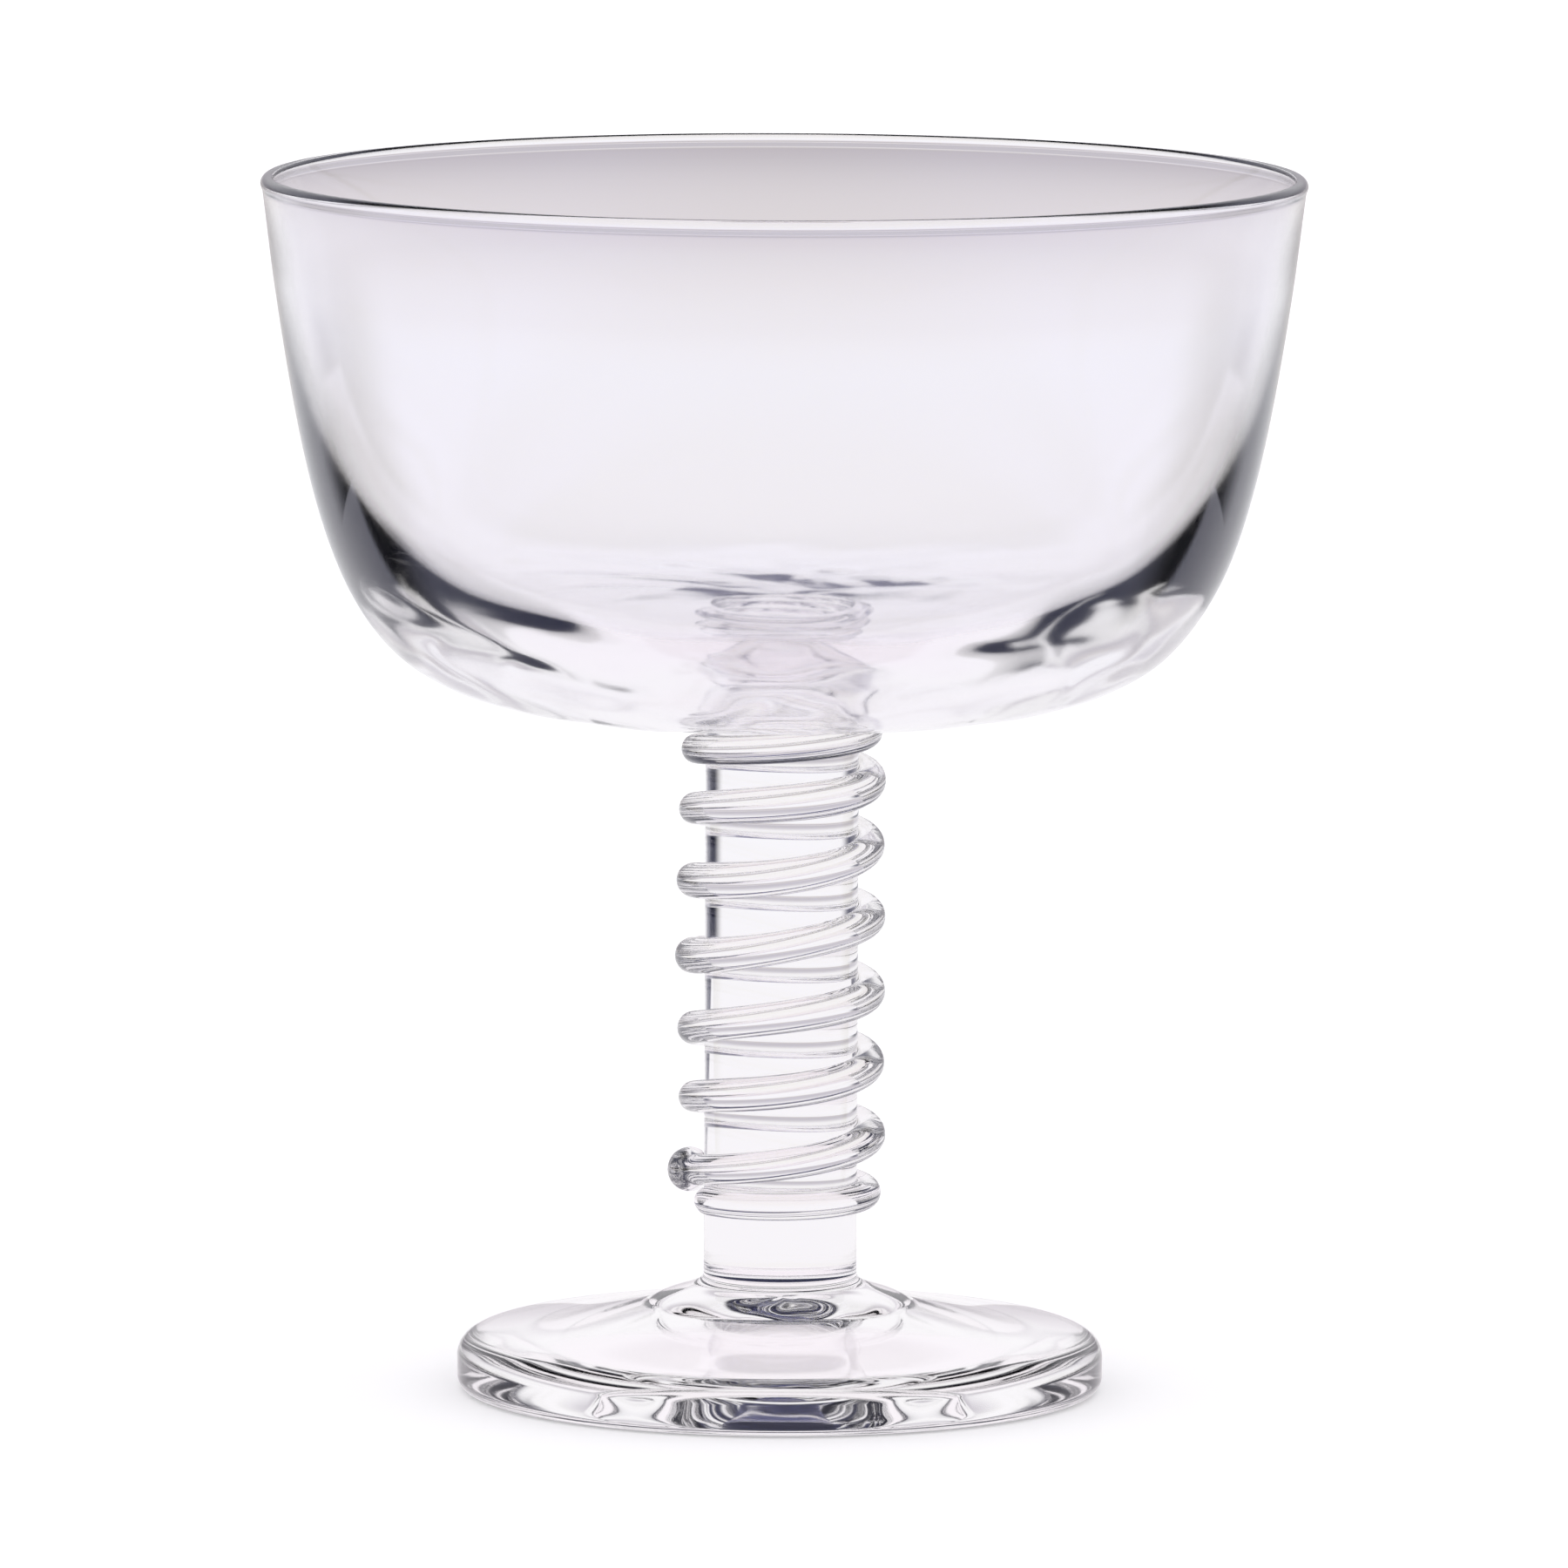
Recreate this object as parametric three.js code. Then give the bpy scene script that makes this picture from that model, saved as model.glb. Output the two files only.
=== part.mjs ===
import * as THREE from 'three';

// A hand-blown champagne coupe: bowl, stem, wound thread and foot.
// It stands on z = 0 with its axis on +Z. Every length is in millimetres.

// Heights, from the table up
const footHeight = 12.8;        // table to the top of the foot's boss
const stemLength = 62.2;        // boss to the bowl's underside
const bowlHeight = 58.3;        // underside, at the stem, to the top of the lip

// Bowl
const rimRadius = 57;
const lipThickness = 1.4;       // the lip is a full round of this width
const baseThickness = 4.5;      // glass above the stem
const undersideReach = 47;      // how far out the flat underside pulls the outer wall
const undersideSag = 2;         // how far that pull lies below the stem's joint
const flankReach = 50.2;        // how far out the flank pulls the outer wall
const flankRise = 6.4;          // how far that pull lies above the stem's joint
const heelThickness = 6.5;      // glass in the turn between underside and flank
const flankThickness = 0.9;     // how far the inner flank's pull lies inside the outer one
const innerFlankRise = 4.2;     // how far it lies above the inner floor

// Stem
const stemRadius = 8.4;

// Thread, wound right-handed round the stem
const threadRadius = 1.62;
const threadSink = 0.54;        // how much of the round is lost where it is pressed on the stem
const threadSeat = 0.3;         // clearance to the stem
const threadPitch = 8;          // rise of one turn
const threadGap = 0.5;          // clearance between the end turns
const threadFootRise = 8;       // level of the first turn above the boss
const threadTopDrop = 1.0;      // level of the last turn below the bowl's underside
const threadStart = -0.36;      // first point, in turns, counted from the +X side
const threadTipRadius = 0.6;    // at the two drawn-out ends
const threadTaper = 0.3;        // length of each drawn-out end, in turns
const threadEaseLow = 0.15;     // how softly the first turn starts to climb, in turns
const threadEaseHigh = 0.42;    // how softly the last turn levels out, in turns

// Foot
const footRadius = 35.4;
const footEdgeHeight = 6.1;     // table to the shoulder
const footEdgeRound = 2.6;      // round at the shoulder
const footToeRound = 1.4;       // round where the edge meets the table
const footConeSag = 0.2;        // hollow of the cone between shoulder and boss
const footBossRadius = 14.5;    // foot of the boss
const footBossRise = 9.4;       // table to the foot of the boss
const footBossBulge = 1.8;      // how far the boss's side swells
const footDishRadius = 28.5;    // hollow under the foot
const footDishDepth = 4.9;
const footDishCrown = 11.4;     // how far out its round top reaches
const footDishFlare = 22.8;     // where its side starts to flare out to the flat ring

// Facets
const lathSegments = 48;
const curvePoints = 20;
const roundPoints = 4;
const threadSteps = 28;         // a turn
const threadSides = 10;

// Levels that the pieces share
const stemFoot = footHeight;
const bowlFoot = stemFoot + stemLength;
const rimTop = bowlFoot + bowlHeight;

const glass = (color) => new THREE.MeshStandardMaterial({ color, roughness: 0.04, metalness: 0 });
const point = (radius, height) => new THREE.Vector2(radius, height);

// Turns a closed half outline of radius and height round the Z axis.
function lathed(outline) {
  const geometry = new THREE.LatheGeometry(outline, lathSegments);
  geometry.rotateX(Math.PI / 2);
  return geometry;
}

// Points on an arc of the given centre and radius, from one angle to another in quarter turns.
function arc(centreRadius, centreHeight, radius, fromQuarter, toQuarter) {
  const points = [];
  for (let i = 0; i <= roundPoints; i++) {
    const angle = (fromQuarter + (toQuarter - fromQuarter) * i / roundPoints) * Math.PI / 2;
    points.push(point(centreRadius + radius * Math.cos(angle), centreHeight + radius * Math.sin(angle)));
  }
  return points;
}

// The wall runs from the joint with the stem out along the underside, round the heel and up the flank.
// The lip is a full round, and the inner wall comes down to a floor over the stem.
function bowl() {
  const lipRadius = lipThickness / 2;
  const lipHeight = rimTop - lipRadius;
  const floor = bowlFoot + baseThickness;
  const outer = new THREE.CubicBezierCurve(
    point(stemRadius, bowlFoot),
    point(undersideReach, bowlFoot - undersideSag),
    point(flankReach, bowlFoot + flankRise),
    point(rimRadius, lipHeight),
  );
  const inner = new THREE.CubicBezierCurve(
    point(rimRadius - lipThickness, lipHeight),
    point(flankReach - flankThickness, floor + innerFlankRise),
    point(undersideReach - heelThickness, floor),
    point(0, floor),
  );
  const lip = arc(rimRadius - lipRadius, lipHeight, lipRadius, 0, 2);
  return lathed([
    point(0, bowlFoot),
    ...outer.getSpacedPoints(curvePoints),
    ...lip.slice(1, -1),
    ...inner.getSpacedPoints(curvePoints),
  ]);
}

// A solid rod, flat at both ends, where it is joined to the bowl and the foot.
function stem() {
  return lathed([
    point(0, stemFoot),
    point(stemRadius, stemFoot),
    point(stemRadius, bowlFoot),
    point(0, bowlFoot),
  ]);
}

// A disc with a round edge, a low cone and a boss as wide as the stem, hollowed underneath.
function foot() {
  const shoulderRadius = footRadius - footEdgeRound;
  const cone = new THREE.QuadraticBezierCurve(
    point(shoulderRadius, footEdgeHeight),
    point((shoulderRadius + footBossRadius) / 2, (footEdgeHeight + footBossRise) / 2 - 2 * footConeSag),
    point(footBossRadius, footBossRise),
  );
  const boss = new THREE.CubicBezierCurve(
    point(footBossRadius, footBossRise),
    point(footBossRadius - footBossBulge, footBossRise + footBossBulge),
    point(stemRadius, stemFoot - footBossBulge),
    point(stemRadius, stemFoot),
  );
  const dish = new THREE.CubicBezierCurve(
    point(0, footDishDepth),
    point(footDishCrown, footDishDepth),
    point(footDishFlare, 0),
    point(footDishRadius, 0),
  );
  return lathed([
    ...dish.getPoints(2 * roundPoints),
    ...arc(footRadius - footToeRound, footToeRound, footToeRound, -1, 0),
    ...arc(shoulderRadius, footEdgeHeight - footEdgeRound, footEdgeRound, 0, 1),
    ...cone.getPoints(roundPoints).slice(1),
    ...boss.getPoints(2 * roundPoints).slice(1),
    point(0, stemFoot),
  ]);
}

// The thread's centre line, one entry for each step. It lies level for most of a turn at each end and
// climbs steadily between, with its ends drawn out thin.
function threadLine() {
  const lowLevel = stemFoot + threadFootRise;
  const highLevel = bowlFoot - threadTopDrop;
  const climbStart = threadStart + 1 - (2 * threadRadius + threadGap) / threadPitch;
  const climbEnd = climbStart + (highLevel - lowLevel) / threadPitch;
  const threadEnd = climbEnd + 1 - (threadRadius + threadTipRadius + threadGap) / threadPitch;
  const steps = Math.round((threadEnd - threadStart) * threadSteps);
  const ramp = (turn, ease) => ease * Math.log(1 + Math.exp(turn / ease));
  const heightAt = (turn) => lowLevel + threadPitch *
    (ramp(turn - climbStart, threadEaseLow) - ramp(turn - climbEnd, threadEaseHigh));
  const line = [];
  for (let i = 0; i <= steps; i++) {
    const turn = threadStart + (threadEnd - threadStart) * i / steps;
    const nearestEnd = Math.min(turn - threadStart, threadEnd - turn) / threadTaper;
    const swell = Math.sin(Math.min(nearestEnd, 1) * Math.PI / 2);
    const radius = threadTipRadius + (threadRadius - threadTipRadius) * swell;
    const slope = (heightAt(turn + 1e-3) - heightAt(turn - 1e-3)) / 2e-3;
    const reach = stemRadius + threadSeat + radius * (1 - threadSink / threadRadius);
    const climb = Math.atan2(slope, 2 * Math.PI * reach);
    line.push({ turn, radius, reach, climb, height: heightAt(turn) });
  }
  return line;
}

// The least clear distance between two stretches of the thread that are over half a turn apart.
function leastThreadGap(line) {
  const centres = line.map(({ turn, reach, height }) =>
    new THREE.Vector3(reach, 0, height).applyAxisAngle(new THREE.Vector3(0, 0, 1), 2 * Math.PI * turn));
  let least = Infinity;
  for (let i = 0; i < line.length; i++) {
    for (let j = i + 1; j < line.length; j++) {
      if (line[j].turn - line[i].turn > 0.5) {
        const clear = centres[i].distanceTo(centres[j]) - line[i].radius - line[j].radius;
        least = Math.min(least, clear);
      }
    }
  }
  return least;
}

// A round section, pressed flat where it lies on the stem, carried along the centre line.
function thread(line) {
  const seatRadius = stemRadius + threadSeat;
  const positions = [];
  const triangles = [];
  for (const { turn, radius, reach, climb, height } of line) {
    const angle = 2 * Math.PI * turn;
    for (let side = 0; side < threadSides; side++) {
      const round = 2 * Math.PI * side / threadSides;
      const out = Math.max(reach + radius * Math.cos(round), seatRadius);
      const along = -radius * Math.sin(round) * Math.sin(climb);
      const up = radius * Math.sin(round) * Math.cos(climb);
      positions.push(
        out * Math.cos(angle) - along * Math.sin(angle),
        out * Math.sin(angle) + along * Math.cos(angle),
        height + up,
      );
    }
  }
  const ring = (step, side) => step * threadSides + side % threadSides;
  for (let step = 0; step + 1 < line.length; step++) {
    for (let side = 0; side < threadSides; side++) {
      const [a, b] = [ring(step, side), ring(step, side + 1)];
      const [c, d] = [ring(step + 1, side), ring(step + 1, side + 1)];
      triangles.push(a, c, b, b, c, d);
    }
  }
  for (let side = 1; side + 1 < threadSides; side++) {
    const last = line.length - 1;
    triangles.push(ring(0, 0), ring(0, side), ring(0, side + 1));
    triangles.push(ring(last, 0), ring(last, side + 1), ring(last, side));
  }
  const geometry = new THREE.BufferGeometry();
  geometry.setAttribute('position', new THREE.Float32BufferAttribute(positions, 3));
  geometry.setIndex(triangles);
  geometry.computeVertexNormals();
  return geometry;
}

const line = threadLine();
console.log(`least gap of the thread to itself: ${leastThreadGap(line).toFixed(2)} mm`);

const coupe = new THREE.Group();
const pieces = {
  foot: [foot(), 0xe6e3ea],
  stem: [stem(), 0xf0eef3],
  stem_thread: [thread(line), 0xf4f3f6],
  bowl: [bowl(), 0xe8e5eb],
};
for (const [name, [geometry, color]] of Object.entries(pieces)) {
  const mesh = new THREE.Mesh(geometry, glass(color));
  mesh.name = name;
  coupe.add(mesh);
}

export default coupe;
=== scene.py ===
import math

import bpy
import numpy as np
from mathutils import Matrix, Vector


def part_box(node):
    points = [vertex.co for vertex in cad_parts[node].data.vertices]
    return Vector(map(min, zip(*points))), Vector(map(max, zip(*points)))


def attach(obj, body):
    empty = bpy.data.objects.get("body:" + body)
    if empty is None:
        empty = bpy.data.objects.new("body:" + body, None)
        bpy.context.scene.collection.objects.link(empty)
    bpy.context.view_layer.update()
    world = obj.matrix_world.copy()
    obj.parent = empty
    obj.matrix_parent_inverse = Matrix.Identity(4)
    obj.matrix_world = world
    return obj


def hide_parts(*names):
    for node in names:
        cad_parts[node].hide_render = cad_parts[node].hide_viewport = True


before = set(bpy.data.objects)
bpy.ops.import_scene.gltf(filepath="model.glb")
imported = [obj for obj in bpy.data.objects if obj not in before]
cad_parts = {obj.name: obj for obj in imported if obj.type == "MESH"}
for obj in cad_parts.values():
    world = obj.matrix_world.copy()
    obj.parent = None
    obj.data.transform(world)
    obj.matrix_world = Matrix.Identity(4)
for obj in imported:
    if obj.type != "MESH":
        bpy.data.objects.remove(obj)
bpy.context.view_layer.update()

scene = bpy.context.scene
mm = 0.001
white = (1, 1, 1, 1)
glassIor = 1.52         # soda-lime glass
creaseDeg = 50.0        # faces that meet at a sharper angle keep a hard edge
curveFineness = 40      # raw points for each point of a curve that is kept

# levels and radii that the pieces share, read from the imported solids
_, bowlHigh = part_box("bowl")
stemLow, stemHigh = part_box("stem")
_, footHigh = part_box("foot")
rimRadius = bowlHigh.x
rimTop = bowlHigh.z
stemRadius = stemHigh.x
stemFoot = stemLow.z
bowlFoot = stemHigh.z
footRadius = footHigh.x
print("frame loaded:", ", ".join(sorted(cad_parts)))


def linearColour(hexText):
    parts = [int(hexText[i:i + 2], 16) / 255 for i in (1, 3, 5)]
    return [c / 12.92 if c <= 0.04045 else ((c + 0.055) / 1.055) ** 2.4 for c in parts] + [1.0]


def addNode(tree, kind, settings=None, **inputs):
    node = tree.nodes.new(kind)
    for name, value in (settings or {}).items():
        setattr(node, name, value)
    for name, value in inputs.items():
        key = int(name[2:]) if name.startswith("in") and name[2:].isdigit() else name.replace("_", " ")
        if isinstance(value, bpy.types.Node):
            value = value.outputs[0]
        if isinstance(value, bpy.types.NodeSocket):
            tree.links.new(value, node.inputs[key])
        else:
            node.inputs[key].default_value = value
    return node


def newMaterial(name):
    material = bpy.data.materials.new(name)
    material.use_nodes = True
    material.node_tree.nodes.clear()
    return material, material.node_tree


def addPiece(name, data):
    piece = bpy.data.objects.new(name, data)
    scene.collection.objects.link(piece)
    return piece


# Clear soda-lime glass, worked hot and fire-polished: colourless in thin walls, with slow ripples that
# bend what is seen through it
def clearGlass(name, tint, glint, polish, rippleMm, rippleHeightMm):
    material, tree = newMaterial(name)
    place = addNode(tree, "ShaderNodeTexCoord")
    ripple = addNode(tree, "ShaderNodeTexNoise", Vector=place.outputs["Object"],
                     Scale=1 / (rippleMm * mm), Detail=1.0, Roughness=0.4)
    bump = addNode(tree, "ShaderNodeBump", Height=ripple.outputs["Fac"],
                   Strength=1.0, Distance=rippleHeightMm * mm)
    surface = addNode(tree, "ShaderNodeBsdfPrincipled", Base_Color=linearColour(tint), Roughness=polish,
                      IOR=glassIor, Specular_Tint=linearColour(glint), Transmission_Weight=1.0, Normal=bump)
    addNode(tree, "ShaderNodeOutputMaterial", Surface=surface)
    return material


# Hot weld between two pieces of the same glass: the joint can't be seen, so light goes straight through
def hotWeld(name):
    material, tree = newMaterial(name)
    surface = addNode(tree, "ShaderNodeBsdfPrincipled", Base_Color=white, Alpha=0.0)
    addNode(tree, "ShaderNodeOutputMaterial", Surface=surface)
    return material


glassLooks = {
    "bowl": {"tint": "#fbfafe", "glint": "#a8b0ff", "polish": 0.045, "rippleMm": 30, "rippleHeightMm": 0.03},
    "stem": {"tint": "#fbfafc", "glint": "#a8b0ff", "polish": 0.03, "rippleMm": 12, "rippleHeightMm": 0.02},
    "thread": {"tint": "#fbfafc", "glint": "#a8b0ff", "polish": 0.0, "rippleMm": 8, "rippleHeightMm": 0.02},
    "foot": {"tint": "#fffeff", "glint": "#d4d6f4", "polish": 0.03, "rippleMm": 15, "rippleHeightMm": 0.03},
}
bowlGlass = clearGlass("blownSodaGlass", **glassLooks["bowl"])
stemGlass = clearGlass("drawnSodaGlass", **glassLooks["stem"])
threadGlass = clearGlass("trailedSodaGlass", **glassLooks["thread"])
footGlass = clearGlass("pressedSodaGlass", **glassLooks["foot"])
weld = hotWeld("hotWeldedGlass")
print("materials ready")


# cubic curve between two ends with two handles, as evenly spread points
def cubicCurve(ends, handles, count):
    t = np.linspace(0, 1, curveFineness * count)[:, None]
    p0, p3 = (np.array(p, float) for p in ends)
    p1, p2 = (np.array(p, float) for p in handles)
    curve = (1 - t) ** 3 * p0 + 3 * (1 - t) ** 2 * t * p1 + 3 * (1 - t) * t ** 2 * p2 + t ** 3 * p3
    return evenly(curve, count)


def evenly(points, count):
    steps = np.linalg.norm(np.diff(points, axis=0), axis=1)
    along = np.concatenate([[0], np.cumsum(steps)])
    wanted = np.linspace(0, along[-1], count)
    return np.stack([np.interp(wanted, along, points[:, k]) for k in (0, 1)], axis=1)


def smoothStep(value, low, high):
    t = np.clip((value - low) / (high - low), 0, 1)
    return t * t * (3 - 2 * t)


def arcPoints(centre, radius, fromDeg, toDeg, count):
    a = np.radians(np.linspace(fromDeg, toDeg, count))
    return np.stack([centre[0] + radius * np.cos(a), centre[1] + radius * np.sin(a)], axis=1)


# smooth mesh whose creases stay sharp; slots gives the material of each face
def glassMesh(name, verts, faces, slots, materials):
    mesh = bpy.data.meshes.new(name)
    mesh.from_pydata(verts, [], faces)
    for material in materials:
        mesh.materials.append(material)
    mesh.polygons.foreach_set("material_index", slots)
    mesh.polygons.foreach_set("use_smooth", [True] * len(faces))
    mesh.set_sharp_from_angle(angle=math.radians(creaseDeg))
    mesh.update()
    return mesh


# turns an outline of (radius, height) points, which starts and ends on the axis, into a closed mesh; the
# strips between points whose numbers are in weldRings get the second material
def turned(name, outline, around, materials, weldRings):
    outline = np.array(outline, float)
    angle = 2 * np.pi * np.arange(around) / around
    rings = outline[1:-1]
    verts = [(0.0, 0.0, outline[0][1])]
    for radius, height in rings:
        verts += [(radius * math.cos(a), radius * math.sin(a), height) for a in angle]
    verts.append((0.0, 0.0, outline[-1][1]))
    last = len(verts) - 1
    faces, slots = [], []
    for j in range(around):
        k = (j + 1) % around
        faces.append((0, 1 + k, 1 + j))
        slots.append(int(0 in weldRings))
        for i in range(len(rings) - 1):
            a, b = 1 + i * around, 1 + (i + 1) * around
            faces.append((a + j, a + k, b + k, b + j))
            slots.append(int(i + 1 in weldRings))
        top = 1 + (len(rings) - 1) * around
        faces.append((top + j, top + k, last))
        slots.append(int(len(rings) in weldRings))
    return glassMesh(name, verts, faces, slots, materials)


# Bowl
bowlShape = {
    "lipMm": 1.4,
    "lipOuterRoundMm": 0.88,
    "lipInnerRoundMm": 0.52,
    "beadMm": 0.12,                   # the fire-polished lip swells out this much over the wall below
    "beadDropsMm": (1.0, 1.7, 12.0),  # below the rim: the bead's edge, its foot, the full wall again
    "baseMm": 4.5,
    "undersideReachMm": 47.0,
    "undersideSagMm": 2.0,
    "flankReachMm": 50.2,
    "flankRiseMm": 6.4,
    "heelMm": 6.5,
    "flankWallMm": 0.9,
    "innerFlankRiseMm": 4.2,
    "around": 256,
    "wallPoints": 150,
    "lipPoints": 9,
    "neckPoints": (8, 24),            # last points of the wall below the lip, and how many replace them
}


def makeBowl(s):
    lip = s["lipMm"] * mm
    outerRound, innerRound = s["lipOuterRoundMm"] * mm, s["lipInnerRoundMm"] * mm
    floor = bowlFoot + s["baseMm"] * mm
    outer = cubicCurve(
        ((stemRadius, bowlFoot), (rimRadius, rimTop - outerRound)),
        ((s["undersideReachMm"] * mm, bowlFoot - s["undersideSagMm"] * mm),
         (s["flankReachMm"] * mm, bowlFoot + s["flankRiseMm"] * mm)),
        s["wallPoints"])
    few, many = s["neckPoints"]
    outer = np.vstack([outer[:-few], evenly(outer[-few:], many)])
    edge, neck, full = (d * mm for d in s["beadDropsMm"])
    drop = rimTop - outer[:, 1]
    outer[:, 0] -= s["beadMm"] * mm * smoothStep(drop, edge, neck) * (1 - smoothStep(drop, neck, full))
    inner = cubicCurve(
        ((rimRadius - lip, rimTop - innerRound), (0.0, floor)),
        (((s["flankReachMm"] - s["flankWallMm"]) * mm, floor + s["innerFlankRiseMm"] * mm),
         ((s["undersideReachMm"] - s["heelMm"]) * mm, floor)),
        s["wallPoints"])
    outerArc = arcPoints((rimRadius - outerRound, rimTop - outerRound), outerRound, 0, 90, s["lipPoints"])
    innerArc = arcPoints((rimRadius - lip + innerRound, rimTop - innerRound), innerRound, 90, 180,
                         s["lipPoints"])
    outline = np.vstack([[(0.0, bowlFoot)], outer, outerArc[1:], innerArc[:-1], inner])
    return turned("bowl_glass", outline, s["around"], [bowlGlass, weld], {0})


# Slow unevenness of hand-worked glass, pushed along the surface. Each wave is (times round, turns along a
# rim's radius, phase), and sideTurn sets the faces that look up and down apart. The push is full past the
# second of two heights and of two radii, and with underside it is on faces that look down alone.
bowlRipple = {
    "heightMm": 0.1,
    "fadeHeights": (bowlFoot + 24 * mm, bowlFoot + 9 * mm),
    "fadeRadii": (stemRadius * 2.2, stemRadius * 4.0),
    "sideTurn": 0.8,
    "underside": False,
    "waves": ((5, 3.0, 0.3), (8, -4.5, 1.9), (12, 6.0, 4.1)),
}


def rippled(mesh, s):
    count = len(mesh.vertices)
    places = np.empty(3 * count)
    mesh.vertices.foreach_get("co", places)
    places = places.reshape(-1, 3)
    normals = np.empty(3 * count)
    mesh.vertex_normals.foreach_get("vector", normals)
    normals = normals.reshape(-1, 3)
    radius = np.hypot(places[:, 0], places[:, 1])
    angle = np.arctan2(places[:, 1], places[:, 0])
    side = np.sign(normals[:, 2]) * s["sideTurn"]
    push = sum(np.sin(n * (angle + side) + 2 * np.pi * m * radius / rimRadius + phase)
               for n, m, phase in s["waves"]) * s["heightMm"] * mm / len(s["waves"])
    push *= smoothStep(places[:, 2], *s["fadeHeights"]) * smoothStep(radius, *s["fadeRadii"])
    if s["underside"]:
        push *= normals[:, 2] < 0
    places += normals * push[:, None]
    mesh.vertices.foreach_set("co", places.ravel())
    mesh.update()
    return mesh


# lumps in the underside of the thick base, nearer to the stem
baseRipple = {
    "heightMm": 0.11,
    "fadeHeights": (bowlFoot + 6 * mm, bowlFoot + 2 * mm),
    "fadeRadii": (stemRadius * 1.3, stemRadius * 2.4),
    "sideTurn": 0.0,
    "underside": True,
    "waves": ((7, 3.0, 0.9), (11, -5.0, 2.7)),
}
bowl = addPiece("bowl_glass", rippled(rippled(makeBowl(bowlShape), bowlRipple), baseRipple))

# Foot
footShape = {
    "edgeHeightMm": 6.1,
    "edgeRoundMm": 2.6,
    "toeRoundMm": 1.4,
    "coneSagMm": 0.2,
    "bossRadiusMm": 14.5,
    "bossRiseMm": 9.4,
    "bossBulgeMm": 1.8,
    "dishRadiusMm": 28.5,
    "dishDepthMm": 4.9,
    "dishCrown": 0.4,           # how far the hollow's round top reaches, as a share of its radius
    "dishFlare": 0.8,           # where the hollow's side starts to flare out to the flat ring
    "edgeEndDeg": 84.0,         # the shoulder's round ends here, short of level, and the cone goes on
    "around": 256,
    "dishPoints": 40,
    "toePoints": 12,
    "edgePoints": 18,
    "conePoints": 24,
    "bossPoints": 30,
}


def makeFoot(s):
    edge, toe = s["edgeRoundMm"] * mm, s["toeRoundMm"] * mm
    shoulder = (footRadius - edge, s["edgeHeightMm"] * mm)
    bossFoot = (s["bossRadiusMm"] * mm, s["bossRiseMm"] * mm)
    bulge = s["bossBulgeMm"] * mm
    dish = (s["dishRadiusMm"] * mm, s["dishDepthMm"] * mm)
    middle = ((shoulder[0] + bossFoot[0]) / 2, (shoulder[1] + bossFoot[1]) / 2 - 2 * s["coneSagMm"] * mm)
    under = cubicCurve(((0.0, dish[1]), (dish[0], 0.0)),
                       ((dish[0] * s["dishCrown"], dish[1]), (dish[0] * s["dishFlare"], 0.0)),
                       s["dishPoints"])
    toeArc = arcPoints((footRadius - toe, toe), toe, -90, 0, s["toePoints"])
    edgeArc = arcPoints((shoulder[0], shoulder[1] - edge), edge, 0, s["edgeEndDeg"], s["edgePoints"])
    cone = cubicCurve((edgeArc[-1], bossFoot), (middle, middle), s["conePoints"])
    boss = cubicCurve((bossFoot, (stemRadius, stemFoot)),
                      ((bossFoot[0] - bulge, bossFoot[1] + bulge), (stemRadius, stemFoot - bulge)),
                      s["bossPoints"])
    outline = np.vstack([under, toeArc, edgeArc, cone[1:], boss[1:], [(0.0, stemFoot)]])
    return turned("foot_glass", outline, s["around"], [footGlass, weld], {len(outline) - 2})


# dents in the middle of the hollow under the foot
footRipple = {
    "heightMm": 0.1,
    "fadeHeights": (0.3 * mm, 2.0 * mm),
    "fadeRadii": (13 * mm, 8 * mm),
    "sideTurn": 0.0,
    "underside": True,
    "waves": ((2, 3.0, 0.3), (3, -5.0, 1.9), (5, 7.0, 4.1)),
}
foot = addPiece("foot_glass", rippled(makeFoot(footShape), footRipple))
print("bowl and foot turned")

# Thread wound round the stem, and the stem with a weld strip where the thread lies on it
threadShape = {
    "radiusMm": 1.62,
    "pitchMm": 8.0,
    "footRiseMm": 8.5,
    "topDropMm": 1.0,
    "startTurn": -0.45,             # counted from the +X side
    "climbTurn": 0.1725,            # it lies level up to here
    "endGapMm": 0.5,
    "startRadiusMm": 0.5,           # the first end is blunt and lies close under the next turn
    "startTaper": 0.05,
    "tipRadiusMm": 0.6,             # the last end is drawn out thin
    "tipTaper": 0.3,
    "easeLow": 0.15,
    "easeHigh": 0.42,
    "knobMm": 0.85,                 # it swells to a knob over its first end
    "knobTurn": 0.5,
    "knobSpread": 0.04,
    "swellMm": 0.25,                # it is so much bolder between its ends
    "unevenMm": (0.16, 0.3),        # how far its radius and its height stray, as trailed by hand
    "unevenWaves": ((0.83, 0.4), (1.71, 2.3)),      # waves in a turn, and phase
    "evenTurns": (0.9, 1.6),        # from each end: even up to the first, uneven from the second
    "pressedDeg": 52.0,             # half of the section that is pressed on the stem
    "stepsPerTurn": 128,
    "sides": 32,
    "weldDepthMm": 0.004,           # faces this close to the stem are the weld
}


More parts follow.
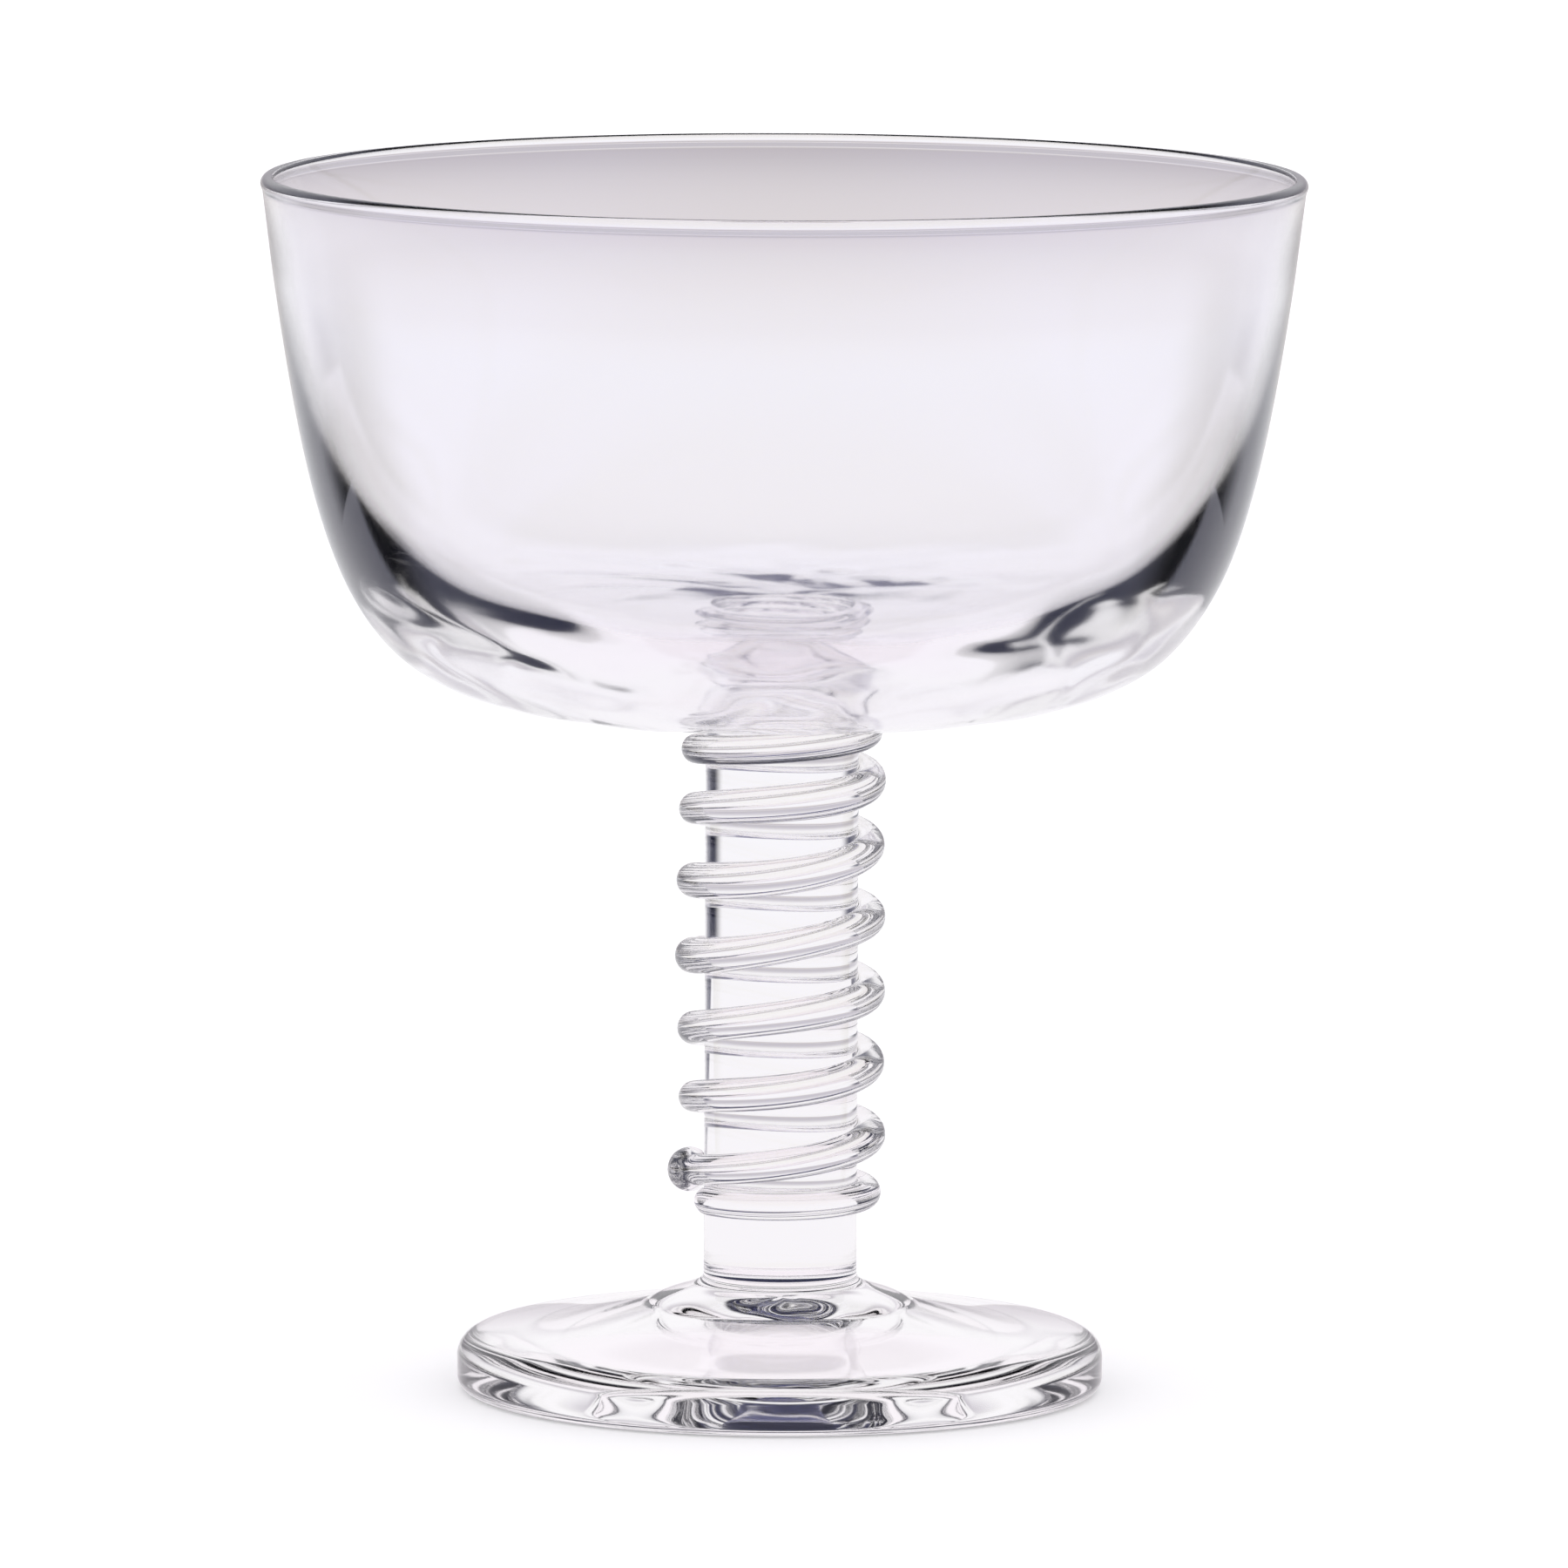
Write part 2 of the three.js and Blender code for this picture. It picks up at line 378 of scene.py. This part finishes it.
# the thread's centre line: turns from the +X side, heights and radii
def threadLine(s):
    low = stemFoot + s["footRiseMm"] * mm
    high = bowlFoot - s["topDropMm"] * mm
    pitch = s["pitchMm"] * mm
    climbEnd = s["climbTurn"] + (high - low) / pitch
    endTurn = climbEnd + 1 - (s["radiusMm"] + s["tipRadiusMm"] + s["endGapMm"]) / s["pitchMm"]
    steps = int(round((endTurn - s["startTurn"]) * s["stepsPerTurn"]))
    turn = s["startTurn"] + np.arange(steps + 1) / s["stepsPerTurn"]
    climbed = (s["easeLow"] * np.log1p(np.exp((turn - s["climbTurn"]) / s["easeLow"]))
               - s["easeHigh"] * np.log1p(np.exp((turn - climbEnd) / s["easeHigh"])))
    stray = smoothStep(np.minimum(turn - turn[0], turn[-1] - turn), *s["evenTurns"])
    waves = s["unevenWaves"]
    thick, lift = (
        sum(np.sin(2 * np.pi * (n * turn + phase * k)) for n, phase in waves) * stray * uneven / len(waves)
        for k, uneven in enumerate(s["unevenMm"], 1))
    height = low + pitch * climbed + lift * mm
    knob = s["knobMm"] * np.exp(-((turn - s["knobTurn"]) / s["knobSpread"]) ** 2)
    radius = s["radiusMm"] + s["swellMm"] * stray + thick + knob
    for away, end, taper in ((turn - turn[0], "startRadiusMm", "startTaper"),
                             (turn[-1] - turn, "tipRadiusMm", "tipTaper")):
        swell = np.sin(np.clip(away / s[taper], 0, 1) * np.pi / 2)
        radius = np.where(away < s[taper], s[end] + (s["radiusMm"] - s[end]) * swell, radius)
    return turn, height, radius * mm


# the stem's wall is laid out along the thread: a weld strip under it, and clear glass between its turns
def makeStem(s):
    turn, height, radius = threadLine(s)
    half = radius * math.sin(math.radians(s["pressedDeg"]))
    n = s["stepsPerTurn"]
    last = len(turn) - 1
    verts, faces, slots = [], [], []

    def vert(t, z, r=stemRadius):
        verts.append((r * math.cos(2 * math.pi * t), r * math.sin(2 * math.pi * t), z))
        return len(verts) - 1

    lower = [vert(t, z - h) for t, z, h in zip(turn, height, half)]
    upper = [vert(t, z + h) for t, z, h in zip(turn, height, half)]
    bottom = [vert(turn[i], stemFoot) for i in range(n)]
    top = [vert(turn[last - n + 1 + i], bowlFoot) for i in range(n)]
    for i in range(last):
        faces.append((lower[i], lower[i + 1], upper[i + 1], upper[i]))
        slots.append(1)
    for i in range(last - n):
        faces.append((upper[i], upper[i + 1], lower[i + n + 1], lower[i + n]))
        slots.append(0)
    for i in range(n - 1):
        faces.append((bottom[i], bottom[i + 1], lower[i + 1], lower[i]))
        slots.append(0)
    faces.append((bottom[n - 1], bottom[0], lower[0], upper[0], lower[n], lower[n - 1]))
    slots.append(0)
    for i in range(n - 1):
        k = last - n + 1 + i
        faces.append((upper[k], upper[k + 1], top[i + 1], top[i]))
        slots.append(0)
    faces.append((upper[last - n], upper[last - n + 1], top[0], top[n - 1], upper[last], lower[last]))
    slots.append(0)
    lowCentre, highCentre = vert(0, stemFoot, 0.0), vert(0, bowlFoot, 0.0)
    for i in range(n):
        faces.append((lowCentre, bottom[(i + 1) % n], bottom[i]))
        faces.append((highCentre, top[i], top[(i + 1) % n]))
        slots += [1, 1]
    return glassMesh("stem_glass", verts, faces, slots, [stemGlass, weld])


stem = addPiece("stem_glass", makeStem(threadShape))


# the thread's node tree: its line is swept with a round section, which is pressed on the stem
def threadTree():
    tree = bpy.data.node_groups.new("woundThread", "GeometryNodeTree")
    sockets = {
        "Path": "NodeSocketGeometry", "Sides": "NodeSocketInt", "Stem Radius": "NodeSocketFloat",
        "Weld Depth": "NodeSocketFloat", "Glass": "NodeSocketMaterial", "Weld": "NodeSocketMaterial",
    }
    for name, kind in sockets.items():
        tree.interface.new_socket(name, in_out="INPUT", socket_type=kind)
    tree.interface.new_socket("Geometry", in_out="OUTPUT", socket_type="NodeSocketGeometry")
    given = addNode(tree, "NodeGroupInput").outputs
    line = addNode(tree, "GeometryNodeMeshToCurve", Mesh=given["Path"])
    upright = addNode(tree, "GeometryNodeSetCurveNormal", {"mode": "Z_UP"}, Curve=line)
    radius = addNode(tree, "GeometryNodeInputNamedAttribute", {"data_type": "FLOAT"}, Name="threadRadius")
    section = addNode(tree, "GeometryNodeCurvePrimitiveCircle", Resolution=given["Sides"], Radius=1.0)
    tube = addNode(tree, "GeometryNodeCurveToMesh", Curve=upright, Profile_Curve=section, Scale=radius,
                   Fill_Caps=True)
    where = addNode(tree, "GeometryNodeInputPosition")
    flat = addNode(tree, "ShaderNodeVectorMath", {"operation": "MULTIPLY"}, in0=where, in1=(1, 1, 0))
    fromAxis = addNode(tree, "ShaderNodeVectorMath", {"operation": "LENGTH"}, in0=flat).outputs["Value"]
    outside = addNode(tree, "ShaderNodeMath", {"operation": "MAXIMUM"}, in0=fromAxis,
                      in1=given["Stem Radius"])
    push = addNode(tree, "ShaderNodeMath", {"operation": "DIVIDE"}, in0=outside, in1=fromAxis)
    stretch = addNode(tree, "ShaderNodeCombineXYZ", X=push, Y=push, Z=1.0)
    moved = addNode(tree, "ShaderNodeVectorMath", {"operation": "MULTIPLY"}, in0=where, in1=stretch)
    pressed = addNode(tree, "GeometryNodeSetPosition", Geometry=tube, Position=moved)
    smooth = addNode(tree, "GeometryNodeSetShadeSmooth", Geometry=pressed)
    real = addNode(tree, "GeometryNodeRealizeInstances", Geometry=smooth)
    glassy = addNode(tree, "GeometryNodeSetMaterial", Geometry=real, Material=given["Glass"])
    skin = addNode(tree, "ShaderNodeMath", {"operation": "ADD"}, in0=given["Stem Radius"],
                   in1=given["Weld Depth"])
    onStem = addNode(tree, "ShaderNodeMath", {"operation": "LESS_THAN"}, in0=fromAxis, in1=skin)
    welded = addNode(tree, "GeometryNodeSetMaterial", Geometry=glassy, Selection=onStem,
                     Material=given["Weld"])
    addNode(tree, "NodeGroupOutput", Geometry=welded)
    return tree


def makeThread(s):
    turn, height, radius = threadLine(s)
    reach = stemRadius + radius * math.cos(math.radians(s["pressedDeg"]))
    angle = 2 * np.pi * turn
    points = np.stack([reach * np.cos(angle), reach * np.sin(angle), height], axis=1)
    line = bpy.data.meshes.new("thread_path")
    line.from_pydata(points.tolist(), [(i, i + 1) for i in range(len(points) - 1)], [])
    line.attributes.new("threadRadius", "FLOAT", "POINT").data.foreach_set("value", radius)
    holder = addPiece("thread_path", line)
    values = {"Sides": s["sides"], "Stem Radius": stemRadius, "Weld Depth": s["weldDepthMm"] * mm,
              "Glass": threadGlass, "Weld": weld}
    modifier = holder.modifiers.new("wound", "NODES")
    modifier.node_group = threadTree()
    for item in modifier.node_group.interface.items_tree:
        if item.name in values:
            modifier[item.identifier] = values[item.name]
    wound = holder.evaluated_get(bpy.context.evaluated_depsgraph_get())
    mesh = bpy.data.meshes.new_from_object(wound)
    holder.modifiers.remove(modifier)
    bpy.data.objects.remove(holder)
    mesh.name = "stem_thread_glass"
    return mesh


thread = addPiece("stem_thread_glass", makeThread(threadShape))
print("thread wound:", len(thread.data.polygons), "faces")

for piece, node, slot in ((bowl, "bowl", "bowl_glass"), (stem, "stem", "stem_glass"),
                          (thread, "stem_thread", "thread_glass"), (foot, "foot", "foot_glass")):
    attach(piece, "root")
    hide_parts(node)

# Camera at the photograph's angle: a long lens, under two metres away, a little above the rim
cameraSetup = {
    "distance": 1.776,
    "height": 0.284,
    "aimHeight": 0.0666,
    "sideways": 0.00022,
    "rollDeg": 0.23,
    "lens": 375.9,
    "sensorWidth": 36.0,
}


def makeCamera(s):
    data = bpy.data.cameras.new("camera")
    data.lens = s["lens"]
    data.sensor_width = s["sensorWidth"]
    camera = addPiece("camera", data)
    place = Vector((s["sideways"], -s["distance"], s["height"]))
    aim = Vector((s["sideways"], 0.0, s["aimHeight"]))
    look = (aim - place).to_track_quat("-Z", "Y").to_matrix()
    roll = Matrix.Rotation(math.radians(s["rollDeg"]), 3, "Z")
    camera.matrix_world = Matrix.Translation(place) @ (look @ roll).to_4x4()
    scene.camera = camera


makeCamera(cameraSetup)

# Studio for glass: a pale floor, a white backdrop all round that starts at a grey horizon and ends below a
# dim ceiling, and two dark flags behind the glass, left and right, which draw its edges
studioSetup = {
    "backdrop": "#fbfafc",
    "ceiling": "#24242f",
    "horizon": "#cac6cc",
    "horizonDeg": (2.0, 14.0),        # the horizon fades into the backdrop between these heights
    "backdropTopDeg": (16.0, 30.0),   # the backdrop fades into the ceiling between these heights
    "ceilingTiltDeg": 12.0,           # the ceiling hangs lower on the camera's side
    "floor": "#f2f0f4",
    "floorRadius": 12.0,
    "floorDropMm": 0.15,              # air under the foot, which mirrors light that comes down steeply
    "floorTones": (                   # what the glass sees, by distance from its middle
        # the first two stops, under the foot, are a little darker and pinker: a faint painted shadow of the
        # foot that the glass sees
        (0.0, "#fcf5fc"), (0.03, "#fcf5fc"), (0.06, "#fcfafc"), (0.7, "#fcfcff"), (0.8, "#fbfafc"),
        (0.98, "#f1eeee"), (1.12, "#eae7e7"), (1.24, "#e4dfe0"), (1.38, "#d9d4d6"), (1.52, "#ccc7ca"),
        (1.65, "#c3bdc1"), (2.2, "#c8c3c5"), (4.0, "#e2dee0"), (12.0, "#eae7e9")),
    "floorGlow": 0.3,                 # added for the camera, so that the open floor is white
    "flag": "#121424",
    "flagRadius": 0.37,
    "flagDeg": (38.0, 52.0, 66.0, 84.0),    # from the back, on each side: thin, full, full, thin
    "flagHeight": (0.018, 0.048),           # full up to here, thin from here
    "flagApron": (0.11, 0.15),              # it also lies on the floor: thin and full at these radii
    "flagApronDeg": 45.0,                   # a line on the floor that the apron keeps clear of
    "flagApronClear": (0.062, 0.074),       # thin and full at these distances from that line
    "flagApronLevel": 0.0004,
    "flagSteps": (48, 16, 16),
}


# light that has met the glass, and light that goes straight to the camera
def rayKinds(tree):
    path = addNode(tree, "ShaderNodeLightPath").outputs
    glassRay = addNode(tree, "ShaderNodeMath", {"operation": "MAXIMUM"}, in0=path["Is Glossy Ray"],
                       in1=path["Is Transmission Ray"])
    return glassRay, path["Is Camera Ray"]


# goes smoothly from 0 to 1 between two angles above the horizon
def risen(tree, height, degrees):
    low, high = (math.sin(math.radians(d)) for d in degrees)
    return addNode(tree, "ShaderNodeMapRange", {"interpolation_type": "SMOOTHSTEP"}, Value=height,
                   From_Min=low, From_Max=high)


def makeWorld(s):
    world = bpy.data.worlds.new("studio")
    scene.world = world
    world.use_nodes = True
    tree = world.node_tree
    tree.nodes.clear()
    place = addNode(tree, "ShaderNodeTexCoord").outputs["Generated"]
    level = addNode(tree, "ShaderNodeSeparateXYZ", Vector=place).outputs["Z"]
    wall = addNode(tree, "ShaderNodeMix", {"data_type": "RGBA"}, in0=risen(tree, level, s["horizonDeg"]),
                   in6=linearColour(s["horizon"]), in7=linearColour(s["backdrop"]))
    tilt = math.radians(s["ceilingTiltDeg"])
    height = addNode(tree, "ShaderNodeVectorMath", {"operation": "DOT_PRODUCT"}, in0=place,
                     in1=(0.0, -math.sin(tilt), math.cos(tilt))).outputs["Value"]
    around = addNode(tree, "ShaderNodeMix", {"data_type": "RGBA"},
                     in0=risen(tree, height, s["backdropTopDeg"]),
                     in6=wall.outputs[2], in7=linearColour(s["ceiling"]))
    glassRay, _ = rayKinds(tree)
    seen = addNode(tree, "ShaderNodeMix", {"data_type": "RGBA"}, in0=glassRay, in6=white,
                   in7=around.outputs[2])
    light = addNode(tree, "ShaderNodeBackground", Color=seen.outputs[2], Strength=1.0)
    addNode(tree, "ShaderNodeOutputWorld", Surface=light)


# Matt white paper: white to the camera, and to the glass a sweep that greys with the distance, with a faint
# painted shadow of the foot in its middle
def makeFloor(s):
    material, tree = newMaterial("mattWhitePaper")
    place = addNode(tree, "ShaderNodeTexCoord").outputs["Object"]
    far = addNode(tree, "ShaderNodeVectorMath", {"operation": "LENGTH"}, in0=place)
    share = addNode(tree, "ShaderNodeMath", {"operation": "DIVIDE"}, in0=far.outputs["Value"],
                    in1=s["floorRadius"])
    tones = addNode(tree, "ShaderNodeValToRGB", Fac=share)
    stops = tones.color_ramp.elements
    given = len(stops)
    for number, (radius, colour) in enumerate(s["floorTones"]):
        at = radius / s["floorRadius"]
        stop = stops[number] if number < given else stops.new(at)
        stop.position = at
        stop.color = linearColour(colour)
    glassRay, cameraRay = rayKinds(tree)
    paper = addNode(tree, "ShaderNodeBsdfDiffuse", Color=linearColour(s["floor"]))
    glow = addNode(tree, "ShaderNodeEmission", Color=white, Strength=s["floorGlow"])
    lit = addNode(tree, "ShaderNodeAddShader", in0=paper, in1=glow)
    direct = addNode(tree, "ShaderNodeMixShader", in0=cameraRay, in1=paper, in2=lit)
    graded = addNode(tree, "ShaderNodeEmission", Color=tones, Strength=1.0)
    surface = addNode(tree, "ShaderNodeMixShader", in0=glassRay, in1=direct, in2=graded)
    addNode(tree, "ShaderNodeOutputMaterial", Surface=surface)
    reach = s["floorRadius"]
    mesh = bpy.data.meshes.new("studio_floor")
    level = -s["floorDropMm"] * mm
    corners = ((-reach, -reach), (reach, -reach), (reach, reach), (-reach, reach))
    mesh.from_pydata([(x, y, level) for x, y in corners], [], [(0, 1, 2, 3)])
    mesh.materials.append(material)
    addPiece("studio_floor", mesh)


# Black gauze that thins out to its edges: the glass sees it as soft dark bands
def makeFlags(s):
    material, tree = newMaterial("blackGauze")
    cover = addNode(tree, "ShaderNodeAttribute", {"attribute_name": "cover"})
    dark = addNode(tree, "ShaderNodeEmission", Color=linearColour(s["flag"]), Strength=1.0)
    clear = addNode(tree, "ShaderNodeBsdfTransparent")
    surface = addNode(tree, "ShaderNodeMixShader", in0=cover.outputs["Fac"], in1=clear, in2=dark)
    addNode(tree, "ShaderNodeOutputMaterial", Surface=surface)
    wide, deep, tall = s["flagSteps"]
    degrees = np.linspace(s["flagDeg"][0], s["flagDeg"][3], wide + 1)
    thinning = 1 - smoothStep(degrees, *s["flagDeg"][2:])
    lying = np.linspace(s["flagApron"][0], s["flagRadius"], deep)
    rising = np.linspace(s["flagApronLevel"], s["flagHeight"][1], tall)
    radii = np.append(lying, np.full(tall, s["flagRadius"]))
    heights = np.append(np.full(deep, s["flagApronLevel"]), rising)
    fromLine = np.outer(lying, np.sin(np.radians(degrees - s["flagApronDeg"])))
    apron = smoothStep(lying, *s["flagApron"])[:, None] * smoothStep(fromLine, *s["flagApronClear"])
    wall = np.outer(1 - smoothStep(rising, *s["flagHeight"]), smoothStep(degrees, *s["flagDeg"][:2]))
    covers = np.vstack([apron, wall]) * thinning
    row = wide + 1
    faces = [(k, k + 1, k + row + 1, k + row)
             for j in range(deep + tall - 1) for k in range(j * row, j * row + wide)]
    for name, side in (("flag_left", -1), ("flag_right", 1)):
        x = side * np.outer(radii, np.sin(np.radians(degrees)))
        y = np.outer(radii, np.cos(np.radians(degrees)))
        z = np.repeat(heights, row)
        mesh = bpy.data.meshes.new(name)
        mesh.from_pydata(np.stack([x.ravel(), y.ravel(), z], axis=1).tolist(), [], faces)
        mesh.attributes.new("cover", "FLOAT", "POINT").data.foreach_set("value", covers.ravel())
        mesh.materials.append(material)
        flag = addPiece(name, mesh)
        flag.visible_camera = False
        flag.visible_diffuse = False
        flag.visible_shadow = False


makeWorld(studioSetup)
makeFloor(studioSetup)
makeFlags(studioSetup)
# light crosses many walls of glass before it leaves the thick base
scene.cycles.max_bounces = 12
scene.cycles.glossy_bounces = 9
scene.cycles.transmission_bounces = 12
scene.view_settings.view_transform = "Standard"
print("studio ready")
